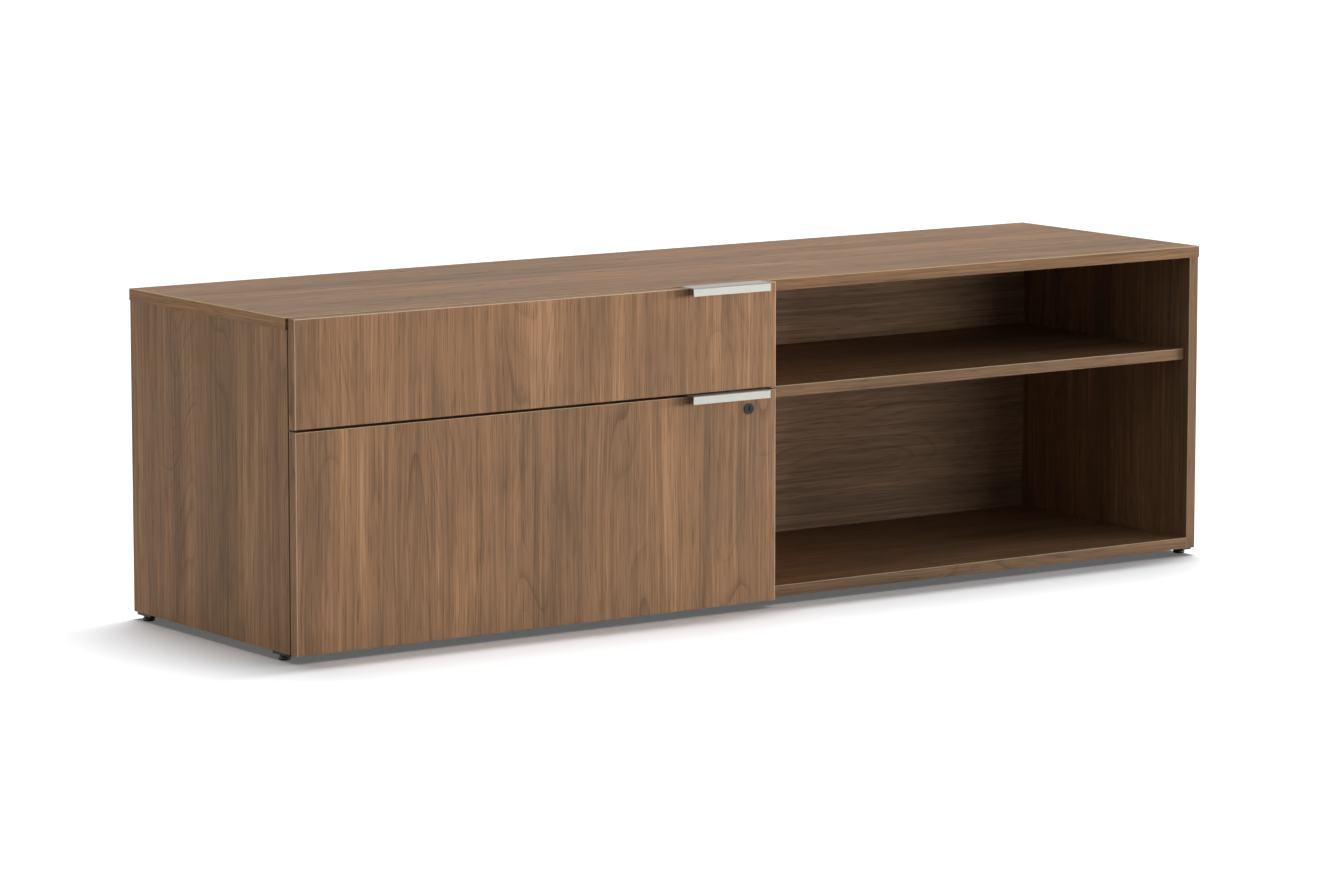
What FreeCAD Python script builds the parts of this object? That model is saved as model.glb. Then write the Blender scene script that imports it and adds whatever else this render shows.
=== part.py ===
"""Low laminate credenza: a box drawer over a file drawer on the left, an open bay with a shelf on the right.

Millimetres, +Z up, +X along the length, drawer fronts facing -Y. The origin is on the floor, under the
middle of the whole piece with its drawer pulls.
"""
import FreeCAD
import Part
import math
import os

from FreeCAD import Vector

# Case boards
overall_width = 1828.8
overall_height = 538.0
case_depth = 486.5
board = 19.05
top_overhang = 1.6
back_recess = 12.0
edge_radius = 0.8

# Shelf in the open bay
shelf_height = 347.9
shelf_setback = 11.0
shelf_play = 1.6
shelf_pin_radius = 3.0
shelf_pin_depth = 9.0
shelf_pin_reach = 11.0
shelf_pin_flat = 1.0
shelf_pin_place_shares = (0.12, 0.88)

# Loose tongues that join the case boards
tongue_thickness = 6.0
tongue_in_face = 9.0
tongue_in_edge = 13.0
tongue_margin = 8.0

# Levelling glides
glide_height = 12.7
glide_radius = 10.0
glide_foot_thickness = 6.0
glide_hex_flats = 13.0
glide_hex_height = 4.8
glide_stem_radius = 3.95
glide_stem_end_room = 2.0
insert_flats = 12.0
insert_length = 14.0
glide_inset = 30.5
thread_clearance = 0.05

# Drawer fronts
front_board = 19.05
front_standoff = 2.4
front_end_reveal = 1.6
front_middle_reveal = 1.0
front_gap = 3.3
front_top_drop = 1.1
upper_front_height = 171.6
bumper_fill_share = 0.8
bumper_height = 12.0
bumper_drop = 20.0

# Edge pulls
pull_length = 152.4
pull_thickness = 1.6
pull_reach = 16.3
pull_lip_height = 13.6
pull_flange_height = 14.0
pull_inset = 22.0

# Drawer boxes
box_wall = 12.7
box_floor = 6.35
box_floor_rise = 9.5
box_groove = 6.35
file_box_clearance = 12.0
upper_box_rise = 22.7
upper_box_headroom = 6.6
rail_clearance = 4.0

# Hanging folder rails of the file drawer
folder_rail_front_inset = 24.0
folder_rail_rear_inset = 47.2
folder_rail_thickness = 3.2
folder_rail_height = 19.05
folder_rail_recess = 6.0

# Three part ball slides
slide_thickness = 12.7
slide_height = 45.7
slide_setback = 2.0
slide_rear_room = 47.05
slide_rise = 38.0
slide_gauge = 1.1
slide_web_gap = 1.1
ball_radius = 1.4
race_clearance = 0.05
race_angle = 32.0
race_lip_angle = 42.0
cage_gauge = 0.5
cage_lip = 0.4
cage_length_share = 0.46
balls_in_row = 2
ball_row_share = 0.84

# Lock in the lower front
lock_inset = 53.4
lock_drop = 29.0
lock_plug_radius = 5.5
lock_plug_head_rim = 1.1
lock_plug_head_thickness = 1.0
lock_barrel_wall = 1.35
lock_bezel_rim = 1.0
lock_bezel_thickness = 1.5
lock_clearance = 0.05
lock_end_play = 0.3
key_slot_width = 1.6
key_slot_height = 8.0
key_slot_depth = 4.0
lock_nut_wall = 2.0
lock_nut_thickness = 3.0
lock_nut_room = 1.5
cam_thickness = 2.0
cam_width = 10.0
cam_engagement = 10.0
cam_square = 6.0
cam_play = 0.8
cam_screw_flats = 7.0
cam_screw_head_thickness = 2.0
strike_thickness = 1.5
strike_margin = 7.0
strike_room = 4.0

# Shared by all cuts and searches
overrun = 1.0
touching = 0.001

# Places worked out from the sizes above
overall_depth = case_depth + front_standoff + front_board + pull_reach
rear_y = overall_depth / 2
case_front_y = rear_y - case_depth
front_back_y = case_front_y - front_standoff
front_face_y = front_back_y - front_board
case_half = overall_width / 2 - top_overhang
bay_outer_x = case_half - board
bay_inner_x = board / 2
bay_low_z = glide_height + board
top_low_z = overall_height - board
back_face_y = rear_y - back_recess - board
front_left_x = -case_half + front_end_reveal
front_right_x = -front_middle_reveal
upper_front_top_z = overall_height - front_top_drop
upper_front_low_z = upper_front_top_z - upper_front_height
lower_front_top_z = upper_front_low_z - front_gap
slide_front_y = case_front_y + slide_setback
slide_rear_y = back_face_y - slide_rear_room
slide_length = slide_rear_y - slide_front_y
lock_x = front_right_x - lock_inset
lock_z = lower_front_top_z - lock_drop
insert_corner = insert_flats / math.sqrt(3)
lock_plug_head_radius = lock_plug_radius + lock_plug_head_rim
lock_barrel_radius = lock_plug_head_radius + lock_clearance + lock_barrel_wall
lock_bezel_radius = lock_barrel_radius + lock_bezel_rim
lock_nut_flats = 2 * (lock_barrel_radius + lock_nut_wall)
lock_nut_reach = lock_nut_flats / math.sqrt(3) + lock_nut_room
cam_front_y = case_front_y + strike_thickness + cam_play
barrel_rear_y = cam_front_y - lock_end_play
file_box_low_z = bay_low_z + file_box_clearance
file_box_top_z = lock_z - lock_nut_reach
upper_box_low_z = upper_front_low_z + upper_box_rise
upper_box_top_z = top_low_z - upper_box_headroom
rail_low_z = lock_z + lock_nut_reach
rail_top_z = upper_box_low_z - rail_clearance
cam_reach = lock_nut_reach + cam_engagement
box_left_x = slide_thickness - bay_outer_x
box_right_x = -bay_inner_x - slide_thickness
drawer_bay_mid_x = -(bay_outer_x + bay_inner_x) / 2

X_AXIS = Vector(1, 0, 0)
Y_AXIS = Vector(0, 1, 0)
Z_AXIS = Vector(0, 0, 1)
ORIGIN = Vector(0, 0, 0)


# Simple shapes


def block(low, high):
    """A plain block between its lowest and highest corners."""
    size = [high[i] - low[i] for i in range(3)]
    return Part.makeBox(*size, Vector(*low))


def rod(start, direction, radius, length):
    """A round rod from a point, along a direction."""
    return Part.makeCylinder(radius, length, Vector(*start), direction)


def hex_bar(start, direction, flats, length):
    """A six sided bar from a point, along a direction, with a size across its flats."""
    corner = flats / math.sqrt(3)
    angles = [math.pi * side / 3 for side in range(7)]
    ring = [Vector(corner * math.cos(angle), corner * math.sin(angle), 0) for angle in angles]
    bar = Part.Face(Part.makePolygon(ring)).extrude(Z_AXIS * length)
    bar.Placement = FreeCAD.Placement(Vector(*start), FreeCAD.Rotation(Z_AXIS, direction))
    return bar


def turned(profile, base, direction):
    """A solid turned about an axis, from points of radius and height above the base."""
    points = [Vector(radius, 0, height) for radius, height in profile]
    solid = Part.Face(Part.makePolygon(points + points[:1])).revolve(ORIGIN, Z_AXIS, 360)
    solid.Placement = FreeCAD.Placement(Vector(*base), FreeCAD.Rotation(Z_AXIS, direction))
    return solid


def eased(solid, direction, *places):
    """The solid with the edges rounded over round its flat faces at these places along a direction."""
    edges = []
    for face in solid.Faces:
        flat = face.Surface.TypeId == "Part::GeomPlane"
        square = flat and face.normalAt(0, 0).cross(direction).Length < touching
        if square and any(abs(face.CenterOfMass.dot(direction) - place) < touching for place in places):
            edges += face.OuterWire.Edges
    return solid.makeFillet(edge_radius, edges)


def group(solids):
    """Separate solids that share one node."""
    return Part.makeCompound(solids)


# Strips bent to shape


def aside(heading):
    """The unit vector to the left of a heading in degrees."""
    angle = math.radians(heading)
    return Vector(-math.sin(angle), math.cos(angle), 0)


def step_along(point, heading, move):
    """The point and heading after a straight of a length, or a bend of a radius and an angle to the left."""
    size, turn = move
    if turn == 0:
        return point + aside(heading - 90) * size, heading
    lean = math.copysign(size, turn)
    centre = point + aside(heading) * lean
    return centre - aside(heading + turn) * lean, heading + turn


def strip_side(point, heading, move, offset):
    """One edge of a bent strip, at an offset to the left of its middle line; none inside a sharp bend."""
    size, turn = move
    after, new_heading = step_along(point, heading, move)
    first = point + aside(heading) * offset
    last = after + aside(new_heading) * offset
    if turn == 0:
        return [Part.LineSegment(first, last).toShape()]
    if first.distanceToPoint(last) < touching:
        return []
    lean = math.copysign(size, turn)
    centre = point + aside(heading) * lean
    middle = centre - aside(heading + turn / 2) * (lean - offset)
    return [Part.Arc(first, middle, last).toShape()]


def strip_cap(point, heading, gauge):
    """The cut end of a bent strip."""
    half = aside(heading) * (gauge / 2)
    return Part.LineSegment(point - half, point + half).toShape()


def bent_strip(point, heading, moves, gauge):
    """The section of a strip of even gauge that runs and bends as the moves say."""
    edges = [strip_cap(point, heading, gauge)]
    for move in moves:
        edges += strip_side(point, heading, move, gauge / 2) + strip_side(point, heading, move, -gauge / 2)
        point, heading = step_along(point, heading, move)
    edges.append(strip_cap(point, heading, gauge))
    return Part.Face(Part.Wire(Part.__sortEdges__(edges)))


def channel_section(web_place, half_height, flange, gauge):
    """A channel that is alike above and below: an upright web with the same flange at each end."""
    corner_radius = flange[0][0]
    start = Vector(web_place, half_height - corner_radius, 0)
    end, heading = start, 90
    for move in flange:
        end, heading = step_along(end, heading, move)
    web = (2 * start.y, 0)
    moves = flange[::-1] + [web] + flange
    return bent_strip(Vector(end.x, -end.y, 0), 180 - heading, moves, gauge)


def along_y(section, start_y, length):
    """A solid whose section in x and z runs along Y."""
    solid = section.extrude(Z_AXIS * -length)
    solid.rotate(ORIGIN, X_AXIS, 90)
    solid.translate(Y_AXIS * start_y)
    return solid


def along_x(section, start_x, length):
    """A solid whose section, drawn in y and z, runs along X."""
    solid = section.extrude(Z_AXIS * length)
    solid.rotate(ORIGIN, Vector(1, 1, 1), 120)
    solid.translate(X_AXIS * start_x)
    return solid


# Case boards


def tongue_lines():
    """Each joint as the middle of the board face that its tongue crosses and the way into that board."""
    lines = [((0, top_low_z), Z_AXIS), ((0, bay_low_z), -Z_AXIS)]
    for side in (-1, 1):
        lines.append(((side * (case_half - board / 2), top_low_z), Z_AXIS))
        lines.append(((side * bay_outer_x, glide_height + board / 2), X_AXIS * side))
    return lines


def tongue(place, inward):
    """A flat tongue, let into the face of one board and the edge of the other, clear of the glides."""
    x, z = place
    stop = glide_inset + insert_corner + tongue_margin
    across = X_AXIS if abs(inward.z) > touching else Z_AXIS
    middle = Vector(x, 0, z)
    corners = [middle + inward * tongue_in_face + across * (tongue_thickness / 2),
               middle - inward * tongue_in_edge - across * (tongue_thickness / 2)]
    low = (min(c.x for c in corners), case_front_y + stop, min(c.z for c in corners))
    high = (max(c.x for c in corners), rear_y - stop, max(c.z for c in corners))
    return block(low, high)


def tongues():
    """Every tongue of the case."""
    return [tongue(*line) for line in tongue_lines()]


def top_panel():
    """The top, proud of the end panels by a hair at each end."""
    x = overall_width / 2
    panel = block((-x, case_front_y, top_low_z), (x, rear_y, overall_height))
    return eased(panel, Z_AXIS, overall_height).cut(tongues())


def end_panel(side):
    """An end panel, from under the top to the underside of the case, on two of the glides."""
    low_x, high_x = sorted((side * bay_outer_x, side * case_half))
    panel = block((low_x, case_front_y, glide_height), (high_x, rear_y, top_low_z))
    return eased(panel, Y_AXIS, case_front_y).cut(tongues() + insert_blanks() + shelf_pin_holes())


def center_divider():
    """The board between the drawers and the open bay, standing on the bottom panel."""
    panel = block((-bay_inner_x, case_front_y, bay_low_z), (bay_inner_x, rear_y, top_low_z))
    return eased(panel, Y_AXIS, case_front_y).cut(tongues() + shelf_pin_holes())


def bottom_panel():
    """The bottom, between the end panels and flush with their lower edges."""
    panel = block((-bay_outer_x, case_front_y, glide_height), (bay_outer_x, rear_y, bay_low_z))
    return eased(panel, Y_AXIS, case_front_y).cut(tongues())


def back_panel(side):
    """The back of one bay, let in between the boards."""
    low_x, high_x = sorted((side * bay_inner_x, side * bay_outer_x))
    return block((low_x, back_face_y, bay_low_z), (high_x, back_face_y + board, top_low_z))


# Shelf


def shelf_levels():
    """The heights of the shelf's underside and top."""
    top_z = glide_height + shelf_height
    return top_z - board, top_z


def shelf():
    """The shelf of the open bay, resting on four pins."""
    low_z, high_z = shelf_levels()
    low = (bay_inner_x + shelf_play, case_front_y + shelf_setback, low_z)
    high = (bay_outer_x - shelf_play, back_face_y - shelf_play, high_z)
    return eased(block(low, high), Y_AXIS, low[1])


def shelf_pin_places():
    """Where each shelf pin stands on the wall of the bay, and which way it points."""
    depth = back_face_y - case_front_y - shelf_setback
    center_z = shelf_levels()[0] - shelf_pin_radius + shelf_pin_flat
    places = []
    for share in shelf_pin_place_shares:
        y = case_front_y + shelf_setback + depth * share
        places.append(((bay_inner_x, y, center_z), X_AXIS))
        places.append(((bay_outer_x, y, center_z), -X_AXIS))
    return places


def shelf_pin_holes():
    """The blind holes that hold the shelf pins."""
    return [rod(place, -out, shelf_pin_radius, shelf_pin_depth) for place, out in shelf_pin_places()]


def shelf_pin(place, out):
    """A steel pin in the wall, ground flat where the shelf rests on it."""
    x, y, z = place
    start = Vector(*place) - out * shelf_pin_depth
    pin = rod(start, out, shelf_pin_radius, shelf_pin_depth + shelf_pin_reach)
    low_x, high_x = sorted((x, x + out.x * shelf_pin_reach))
    top_z = z + shelf_pin_radius
    flat_z = top_z - shelf_pin_flat
    return pin.cut(block((low_x, y - shelf_pin_radius, flat_z), (high_x, y + shelf_pin_radius, top_z)))


def shelf_pins():
    """The four pins under the shelf."""
    return group([shelf_pin(place, out) for place, out in shelf_pin_places()])


# Levelling glides


def glide_places():
    """The middle of each glide, by name."""
    end_x = case_half - board / 2
    rows = {"front": (case_front_y, 1), "rear": (rear_y, -1)}
    places = {}
    for row, (edge_y, inward) in rows.items():
        end_y = edge_y + inward * glide_inset
        places[row + "_left_glide"] = (-end_x, end_y)
        places[row + "_right_glide"] = (end_x, end_y)
    return places


def glide(place):
    """A glide: a round foot, a hexagon for the wrench and a stem that turns in its insert."""
    foot = rod((*place, 0), Z_AXIS, glide_radius, glide_foot_thickness)
    wrench_flats = hex_bar((*place, glide_foot_thickness), Z_AXIS, glide_hex_flats, glide_hex_height)
    stem_low_z = glide_foot_thickness + glide_hex_height
    stem_high_z = glide_height + insert_length - glide_stem_end_room
    stem = rod((*place, stem_low_z), Z_AXIS, glide_stem_radius, stem_high_z - stem_low_z)
    return foot.fuse([wrench_flats, stem]).removeSplitter()


def insert_blanks():
    """The outsides of the glide inserts, which the boards are cut to."""
    return [hex_bar((*place, glide_height), Z_AXIS, insert_flats, insert_length)
            for place in glide_places().values()]


def glide_inserts():
    """The six sided sleeves in the case that the glides screw into."""
    bore = glide_stem_radius + thread_clearance
    bores = [rod((*place, glide_height), Z_AXIS, bore, insert_length) for place in glide_places().values()]
    return group([blank.cut(hole) for blank, hole in zip(insert_blanks(), bores)])


# Drawer fronts and pulls


def front_panel(low_z, high_z):
    """A drawer front with its edges eased."""
    panel = block((front_left_x, front_face_y, low_z), (front_right_x, front_back_y, high_z))
    return eased(panel, Y_AXIS, front_face_y, front_back_y)


def bumpers(high_z):
    """The two soft pads between a front and the edges of the case."""
    spans = [(-bay_outer_x, front_left_x + edge_radius),
             (-bay_inner_x + edge_radius, front_right_x - edge_radius)]
    pads = []
    for span in spans:
        middle = sum(span) / 2
        half = abs(span[1] - span[0]) / 2 * bumper_fill_share
        pads.append(block((middle - half, front_back_y, high_z - bumper_drop - bumper_height),
                          (middle + half, case_front_y, high_z - bumper_drop)))
    return group(pads)


def pull(front_top_z):
    """An edge pull bent from one strip: a lip in front, a plate on the front's top edge, a flange behind."""
    corner = edge_radius + pull_thickness / 2
    start = Vector(front_back_y + pull_thickness / 2, front_top_z + pull_thickness - pull_flange_height, 0)
    flange = pull_flange_height - pull_thickness / 2 - corner
    plate = front_board + pull_reach - 2 * corner
    lip = pull_lip_height - pull_thickness / 2 - corner
    moves = [(flange, 0), (corner, 90), (plate, 0), (corner, 90), (lip, 0)]
    section = bent_strip(start, 90, moves, pull_thickness)
    return along_x(section, front_right_x - pull_inset - pull_length, pull_length)


# Drawer boxes


def box_nodes(prefix, low_z, high_z, let_in):
    """The five boards of a drawer box, with the floor let into grooves in the other four."""
    floor_low_z = low_z + box_floor_rise
    groove_low = (box_left_x + box_wall - box_groove, front_back_y + box_wall - box_groove, floor_low_z)
    groove_high = (box_right_x - box_wall + box_groove, slide_rear_y - box_wall + box_groove,
                   floor_low_z + box_floor)
    floor = block(groove_low, groove_high)
    left_in_x = box_left_x + box_wall
    right_in_x = box_right_x - box_wall
    walls = {
        "left_side": ((box_left_x, front_back_y), (left_in_x, slide_rear_y)),
        "right_side": ((right_in_x, front_back_y), (box_right_x, slide_rear_y)),
        "inner_front": ((left_in_x, front_back_y), (right_in_x, front_back_y + box_wall)),
        "back": ((left_in_x, slide_rear_y - box_wall), (right_in_x, slide_rear_y)),
    }
    nodes = {}
    for name, (low, high) in walls.items():
        nodes[prefix + "_drawer_" + name] = block((*low, low_z), (*high, high_z)).cut([floor] + let_in)
    nodes[prefix + "_drawer_bottom"] = floor
    return nodes


def folder_rail_places():
    """The front face of each hanging folder rail."""
    first_y = front_back_y + box_wall + folder_rail_front_inset
    return [first_y, slide_rear_y - box_wall - folder_rail_rear_inset - folder_rail_thickness]


def folder_rail(y):
    """A flat steel rail whose ends drop into slots in the sides of the file drawer."""
    low = (box_left_x + box_wall - folder_rail_recess, y, file_box_top_z - folder_rail_height)
    high = (box_right_x - box_wall + folder_rail_recess, y + folder_rail_thickness, file_box_top_z)
    return block(low, high)


def folder_rails():
    """The two rails that hanging folders ride on."""
    return [folder_rail(y) for y in folder_rail_places()]


# Ball slides


def race_line():
    """The radius of the middle line of a strip that follows the balls."""
    return ball_radius + race_clearance + slide_gauge / 2


def race_places():
    """The centres of the outer and inner ball rows, as distance from the case wall and height."""
    middle = (middle_web_place() + slide_thickness - slide_gauge / 2) / 2
    reach = race_line() * math.sin(math.radians(race_angle))
    drop = 2 * race_line() * math.cos(math.radians(race_angle))
    outer_z = slide_height / 2 - slide_gauge - race_clearance - ball_radius
    return (middle - reach, outer_z), (middle + reach, outer_z - drop)


def middle_web_place():
    """The middle of the middle member's web, as distance from the case wall."""
    return slide_gauge + slide_web_gap + slide_gauge / 2


def race_flat(centre, away):
    """How far a flange's flat lies from the ball row, and where it ends, on the side away from the lip."""
    turn = math.radians(race_angle)
    ease = slide_gauge / 2
    height = race_line() * math.cos(turn) - ease * (1 - math.cos(turn))
    return centre - away * (race_line() + ease) * math.sin(turn), height


def member_section(web_place, race, outside, away, tail):
    """A slide member: a web, a bend, a flat and a race that starts at a ball row.

    Outside is 1 where the flange passes over its first balls and -1 where it passes under them.
    Away is 1 where the flange runs away from the case wall and -1 where it runs towards it.
    """
    flat_end, rise = race_flat(race[0], away)
    bend = slide_gauge / 2
    side = outside * away
    flange = [(bend, -90 * away), (abs(flat_end - web_place) - bend, 0), (bend, side * race_angle)]
    flange += [(race_line(), -side * turn) for turn in tail]
    return channel_section(web_place, race[1] + outside * rise, flange, slide_gauge)


def cabinet_member():
    """The outer channel, screwed to the case; its flanges curl over the outer balls."""
    outer, _ = race_places()
    return member_section(slide_gauge / 2, outer, 1, 1, [race_angle + race_lip_angle])


def middle_member():
    """The middle channel; each flange dips under the outer balls and then rises over the inner ones."""
    outer, _ = race_places()
    return member_section(middle_web_place(), outer, -1, 1, [2 * race_angle, -race_angle - race_lip_angle])


def drawer_member():
    """The inner channel, screwed to the drawer; its flanges run under the inner balls."""
    _, inner = race_places()
    return member_section(slide_thickness - slide_gauge / 2, inner, -1, -1, [race_angle + race_lip_angle])


def ball(place):
    """A ball as a solid of twelve flat sides whose corners just reach its sphere."""
    half = ball_radius / math.sqrt(2)
    reach = 2 * ball_radius
    beam = block((-reach, -half, -half), (reach, half, half)).rotated(ORIGIN, X_AXIS, 45)
    upright = beam.rotated(ORIGIN, Y_AXIS, 90)
    solid = beam.common(upright).common(beam.rotated(ORIGIN, Z_AXIS, 90))
    solid.translate(Vector(*place))
    return solid


def ball_cage(web_place, row):
    """A cage that carries one row of balls above and one below, halfway along the closed slide."""
    row_x, row_z = row
    half = cage_gauge / 2
    tip_x = row_x + ball_radius + cage_lip
    length = slide_length * cage_length_share
    start_y = slide_front_y + (slide_length - length) / 2
    end_y = start_y + length
    cage = block((web_place - half, start_y, -row_z - half), (tip_x, end_y, row_z + half))
    cage = cage.cut(block((web_place + half, start_y, half - row_z), (tip_x, end_y, row_z - half)))
    spread = length * ball_row_share
    step = spread / (balls_in_row - 1)
    first_y = start_y + (length - spread) / 2
    places = [(row_x, first_y + step * i, z) for i in range(balls_in_row) for z in (-row_z, row_z)]
    return cage.fuse([ball(place) for place in places])


def slide_solids():
    """The five solids of a closed slide, drawn on the plane X = 0 at height 0."""
    outer, inner = race_places()
    sections = {
        "cabinet_member": cabinet_member(),
        "middle_member": middle_member(),
        "drawer_member": drawer_member(),
    }
    solids = {name: along_y(section, slide_front_y, slide_length) for name, section in sections.items()}
    solids["outer_ball_cage"] = ball_cage(slide_gauge + slide_web_gap / 2, outer)
    solids["inner_ball_cage"] = ball_cage(middle_web_place() + (slide_gauge + slide_web_gap) / 2, inner)
    return solids


def slide_nodes(prefix, box_low_z):
    """The left and right slides of a drawer; the balls of both sides share a node for each row."""
    lift = Vector(-bay_outer_x, 0, box_low_z + slide_rise)
    nodes = {}
    for name, solid in slide_solids().items():
        left = solid.translated(lift)
        right = left.mirror(X_AXIS * drawer_bay_mid_x, X_AXIS)
        if name.endswith("cage"):
            nodes[prefix + "_" + name + "s"] = group([left, right])
            continue
        nodes[prefix + "_left_" + name] = left
        nodes[prefix + "_right_" + name] = right
    return nodes


# Lock


def lock_hole():
    """The hole through the lower front for the lock's barrel."""
    return rod((lock_x, front_face_y, lock_z), Y_AXIS, lock_barrel_radius, front_board)


def lock_housing():
    """The barrel of the lock with its bezel, bored and counterbored for the plug."""
    bore = lock_plug_radius + lock_clearance
    head_bore = lock_plug_head_radius + lock_clearance
    seat = lock_bezel_thickness - lock_plug_head_thickness
    length = barrel_rear_y - front_face_y
    profile = [(head_bore, -lock_bezel_thickness), (lock_bezel_radius, -lock_bezel_thickness),
               (lock_bezel_radius, 0), (lock_barrel_radius, 0), (lock_barrel_radius, length), (bore, length),
               (bore, -seat), (head_bore, -seat)]
    return turned(profile, (lock_x, front_face_y, lock_z), Y_AXIS)


def lock_plug():
    """The plug that the key turns: a head with the key slot, a round body and a square tail for the cam."""
    seat = lock_bezel_thickness - lock_plug_head_thickness
    tail = cam_front_y - front_face_y
    profile = [(0, -lock_bezel_thickness), (lock_plug_head_radius, -lock_bezel_thickness),
               (lock_plug_head_radius, -seat), (lock_plug_radius, -seat), (lock_plug_radius, tail), (0, tail)]
    plug = turned(profile, (lock_x, front_face_y, lock_z), Y_AXIS)
    bezel_y = front_face_y - lock_bezel_thickness
    slot = block((lock_x - key_slot_width / 2, bezel_y - overrun, lock_z - key_slot_height / 2),
                 (lock_x + key_slot_width / 2, bezel_y + key_slot_depth, lock_z + key_slot_height / 2))
    return plug.cut(slot).fuse(cam_tail()).removeSplitter()


def cam_tail():
    """The square tail behind the plug."""
    half = cam_square / 2
    return block((lock_x - half, cam_front_y, lock_z - half),
                 (lock_x + half, cam_front_y + cam_thickness, lock_z + half))


def cam_screw():
    """The six sided screw head that holds the cam on the plug's tail."""
    rear_of_cam = (lock_x, cam_front_y + cam_thickness, lock_z)
    return hex_bar(rear_of_cam, Y_AXIS, cam_screw_flats, cam_screw_head_thickness)


def lock_cam():
    """The tongue that swings up behind the strike; it lies level while the lock is open."""
    half = cam_width / 2
    tip_x = lock_x - cam_reach + half
    tongue = block((tip_x, cam_front_y, lock_z - half), (lock_x, cam_front_y + cam_thickness, lock_z + half))
    ends = [rod((x, cam_front_y, lock_z), Y_AXIS, half, cam_thickness) for x in (tip_x, lock_x)]
    return tongue.fuse(ends).removeSplitter().cut(cam_tail())


def lock_nut():
    """The nut that clamps the barrel from behind the front."""
    start = (lock_x, front_back_y, lock_z)
    nut = hex_bar(start, Y_AXIS, lock_nut_flats, lock_nut_thickness)
    return nut.cut(rod(start, Y_AXIS, lock_barrel_radius, lock_nut_thickness))


def strike_pocket():
    """The pocket in the rail that the cam swings up into, as its lowest and highest corners."""
    low = (lock_x - cam_reach - strike_room, case_front_y, rail_low_z)
    high = (lock_x + cam_width / 2 + strike_room, cam_front_y + cam_thickness + strike_room,
            lock_z + cam_reach + strike_room)
    return low, high


def lock_strike():
    """The steel plate that the cam catches behind, let in flush across the front of the pocket."""
    low, high = strike_pocket()
    return block((low[0] - strike_margin, case_front_y, rail_low_z),
                 (high[0] + strike_margin, case_front_y + strike_thickness, high[2] + strike_margin))


def lock_rail():
    """The rail across the drawer bay between the two drawer boxes, pocketed for the cam."""
    rail = block((-bay_outer_x, case_front_y, rail_low_z), (-bay_inner_x, case_front_y + board, rail_top_z))
    return rail.cut([block(*strike_pocket()), lock_strike()])


# Assembly


def case_nodes():
    """Everything that stays with the case, apart from the slides."""
    return {
        "top_panel": top_panel(),
        "left_end_panel": end_panel(-1),
        "right_end_panel": end_panel(1),
        "center_divider": center_divider(),
        "bottom_panel": bottom_panel(),
        "left_back_panel": back_panel(-1),
        "right_back_panel": back_panel(1),
        "case_tongues": group(tongues()),
        "shelf": shelf(),
        "shelf_pins": shelf_pins(),
        "lock_rail": lock_rail(),
        "lock_strike": lock_strike(),
        "glide_inserts": glide_inserts(),
    }


def upper_drawer_nodes():
    """The box drawer without its slides."""
    nodes = box_nodes("box", upper_box_low_z, upper_box_top_z, [])
    nodes["box_drawer_front"] = front_panel(upper_front_low_z, upper_front_top_z)
    nodes["box_drawer_bumpers"] = bumpers(upper_front_top_z)
    nodes["box_drawer_pull"] = pull(upper_front_top_z)
    return nodes


def lower_drawer_nodes():
    """The file drawer without its slides."""
    rails = folder_rails()
    nodes = box_nodes("file", file_box_low_z, file_box_top_z, rails)
    nodes["file_drawer_front"] = front_panel(glide_height, lower_front_top_z).cut(lock_hole())
    nodes["file_drawer_bumpers"] = bumpers(lower_front_top_z)
    nodes["file_drawer_pull"] = pull(lower_front_top_z)
    nodes["folder_rails"] = group(rails)
    nodes["lock_housing"] = lock_housing()
    nodes["lock_nut"] = lock_nut()
    nodes["lock_plug"] = lock_plug()
    nodes["lock_cam"] = lock_cam()
    nodes["cam_screw"] = cam_screw()
    return nodes


def all_nodes():
    """Every node of the credenza by name."""
    nodes = case_nodes()
    nodes.update({name: glide(place) for name, place in glide_places().items()})
    nodes.update(slide_nodes("box", upper_box_low_z))
    nodes.update(slide_nodes("file", file_box_low_z))
    nodes.update(upper_drawer_nodes())
    nodes.update(lower_drawer_nodes())
    return nodes


os.makedirs("parts", exist_ok=True)
for node_name, node_shape in all_nodes().items():
    node_shape.exportStep("parts/" + node_name + ".step")
    print(node_name, len(node_shape.Solids), node_shape.isValid())
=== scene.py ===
"""Looks of a low walnut laminate credenza: its finishes, small hardware, floor, light and camera.

Lengths are in metres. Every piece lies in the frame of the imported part: Z up, the drawer fronts facing -Y.
"""

import functools
import logging
import math
from collections.abc import Iterable
from dataclasses import dataclass
from enum import Enum

import bmesh
import bpy
from mathutils import Color, Matrix, Vector


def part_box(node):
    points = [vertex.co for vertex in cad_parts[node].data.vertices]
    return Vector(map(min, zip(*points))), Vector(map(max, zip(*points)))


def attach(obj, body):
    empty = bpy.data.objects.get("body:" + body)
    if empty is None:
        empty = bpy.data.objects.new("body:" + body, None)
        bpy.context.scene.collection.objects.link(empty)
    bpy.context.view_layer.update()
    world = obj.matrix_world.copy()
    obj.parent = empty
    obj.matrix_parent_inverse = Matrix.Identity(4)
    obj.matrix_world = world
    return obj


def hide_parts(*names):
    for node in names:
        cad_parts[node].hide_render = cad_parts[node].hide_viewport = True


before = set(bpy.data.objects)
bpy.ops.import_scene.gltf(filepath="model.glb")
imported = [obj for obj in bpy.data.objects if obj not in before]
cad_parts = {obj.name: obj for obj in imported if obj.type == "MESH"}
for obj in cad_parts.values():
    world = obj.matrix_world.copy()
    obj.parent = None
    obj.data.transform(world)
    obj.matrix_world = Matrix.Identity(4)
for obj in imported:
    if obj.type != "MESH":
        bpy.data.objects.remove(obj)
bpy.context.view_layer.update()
SCREEN_WHITE = 255

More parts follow.
